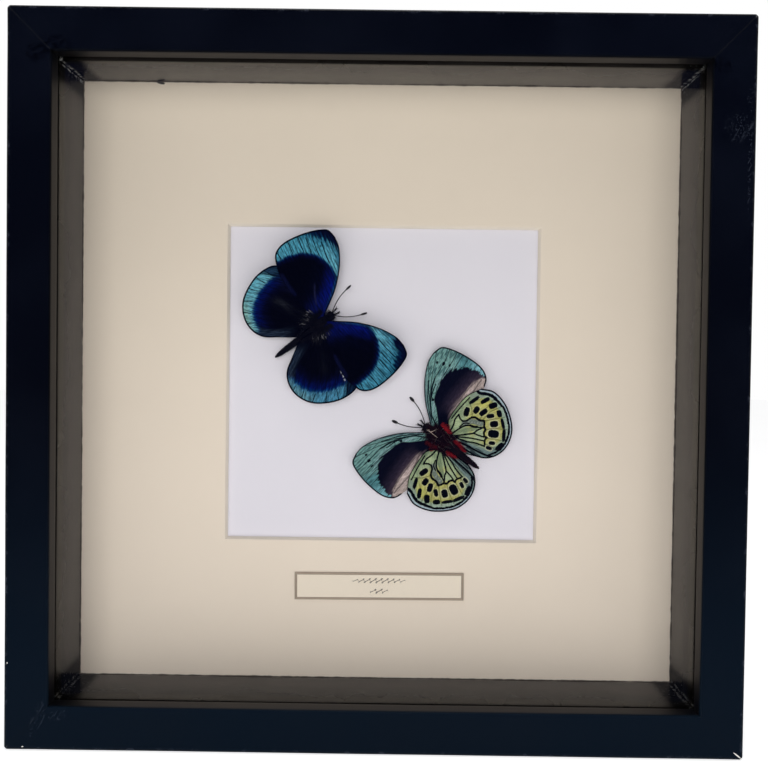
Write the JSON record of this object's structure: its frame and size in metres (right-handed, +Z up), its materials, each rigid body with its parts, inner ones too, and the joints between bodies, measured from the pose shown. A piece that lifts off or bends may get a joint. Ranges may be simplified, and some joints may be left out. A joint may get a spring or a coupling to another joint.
{
  "type": "framed butterfly specimen",
  "caption": "Deep square box frame with glass, a cream mat with a bevelled window, a label strip and dried butterflies mounted on white card.",
  "frame": {"origin": "centre of the underside of the bottom rail, halfway through the frame's depth", "axes": "+Z up, -Y out of the glass towards the viewer, +X to the viewer's right"},
  "size_m": [0.25, 0.045, 0.25],
  "materials": {
    "lacquer": "gloss lacquer",
    "glass": "polished",
    "foil": "gloss black foil",
    "cream_card": "matt",
    "white_card": "matt",
    "label_paper": "matt",
    "fibreboard": "raw",
    "steel": "zinc plated",
    "glue": "translucent",
    "upper_wing": "iridescent scales",
    "under_wing": "scaled",
    "chitin": "hairy"
  },
  "bodies": {
    "root": {"frame_rail_bottom": "lacquer", "frame_rail_right": "lacquer", "frame_rail_top": "lacquer", "frame_rail_left": "lacquer", "glass_pane": "glass", "spacer_bottom": "foil", "spacer_right": "foil", "spacer_top": "foil", "spacer_left": "foil", "mat_board": "cream_card", "label": "label_paper", "mount_card": "white_card", "back_panel": "fibreboard", "retaining_point_1": "steel", "retaining_point_2": "steel", "retaining_point_3": "steel", "retaining_point_4": "steel", "retaining_point_5": "steel", "retaining_point_6": "steel", "retaining_point_7": "steel", "retaining_point_8": "steel", "hanger_plate": "steel", "hanger_screw_left": "steel", "hanger_screw_right": "steel", "dorsal_body": "chitin", "dorsal_forewing_left": "upper_wing", "dorsal_hindwing_left": "upper_wing", "dorsal_antenna_left": "chitin", "dorsal_forewing_right": "upper_wing", "dorsal_hindwing_right": "upper_wing", "dorsal_antenna_right": "chitin", "dorsal_glue_pad": "glue", "ventral_body": "chitin", "ventral_forewing_left": "under_wing", "ventral_hindwing_left": "under_wing", "ventral_antenna_left": "chitin", "ventral_forewing_right": "under_wing", "ventral_hindwing_right": "under_wing", "ventral_antenna_right": "chitin", "ventral_glue_pad": "glue"}
  },
  "joints": []
}
